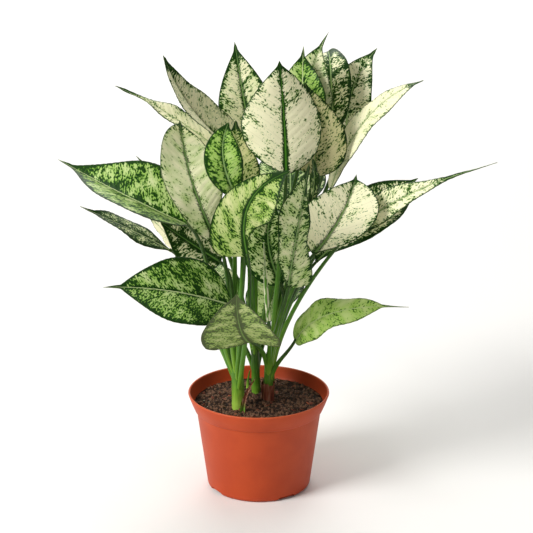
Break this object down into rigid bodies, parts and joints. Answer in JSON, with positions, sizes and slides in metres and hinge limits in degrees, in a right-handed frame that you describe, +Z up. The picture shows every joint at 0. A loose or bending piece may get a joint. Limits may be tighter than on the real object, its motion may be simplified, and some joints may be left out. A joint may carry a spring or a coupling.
{
  "type": "potted chinese evergreen",
  "caption": "Bushy potted plant: broad pointed leaves mottled in cream and green, on long stalks from short canes, in a round tapered plastic nursery pot of soil.",
  "frame": {"origin": "centre of the pot's flat underside", "axes": "+Z is up; the side that the picture shows faces -Y, and +X is to its right"},
  "size_m": [0.4662, 0.3525, 0.4952],
  "materials": {
    "pot_plastic": "moulded terracotta-coloured plastic, soft sheen",
    "soil": "coarse dark potting mix of peat, bark and fibre",
    "stem": "smooth fleshy green cane and leaf stalk",
    "leaf_cream": "cream leaf with a few green flecks, satin",
    "leaf_mottled": "leaf mottled in lime, cream and dark green, satin",
    "leaf_green": "mostly green leaf with pale mottling, satin",
    "leaf_dark": "dark green leaf with cream mottling, satin",
    "leaf_olive": "shaded cream leaf with dark spots, satin",
    "new_leaf": "rolled pale new leaf, satin",
    "dried_sheath": "dry papery brown leaf sheath"
  },
  "bodies": {
    "root": {"pot": "pot_plastic", "soil": "soil", "stems_left": "stem", "stems_right": "stem", "stems_back": "stem", "stems_back_right": "stem", "leaf_far_left": "leaf_mottled", "leaf_far_left_low": "leaf_dark", "leaf_low_left": "leaf_mottled", "leaf_left_tall": "leaf_cream", "leaf_young": "leaf_green", "leaf_centre_folded": "leaf_mottled", "leaf_upper_left": "leaf_cream", "leaf_far_upper_left": "leaf_cream", "leaf_behind_left": "leaf_dark", "leaf_edge_left": "leaf_cream", "leaf_spike_left": "leaf_dark", "leaf_front_low": "leaf_mottled", "leaf_hero": "leaf_cream", "leaf_sliver": "leaf_dark", "leaf_right_front": "leaf_cream", "leaf_right_low": "leaf_green", "leaf_centre_waved": "leaf_mottled", "leaf_centre_dark": "leaf_dark", "leaf_behind_young": "leaf_olive", "leaf_top_left": "leaf_mottled", "leaf_top_a": "leaf_green", "leaf_top_b": "leaf_cream", "leaf_top_c": "leaf_dark", "leaf_top_d": "leaf_mottled", "leaf_olive": "leaf_olive", "leaf_right_long": "leaf_cream", "leaf_right_tail": "leaf_cream", "leaf_right_dark": "leaf_dark", "leaf_back_left": "leaf_mottled", "leaf_back_middle": "leaf_cream", "leaf_back_right": "leaf_mottled", "leaf_back_low_left": "leaf_dark", "leaf_back_low": "leaf_mottled", "leaf_back_low_right": "leaf_green", "new_leaf": "new_leaf", "dried_strip": "dried_sheath", "cane_sheath": "dried_sheath", "sprout": "stem"}
  },
  "joints": []
}
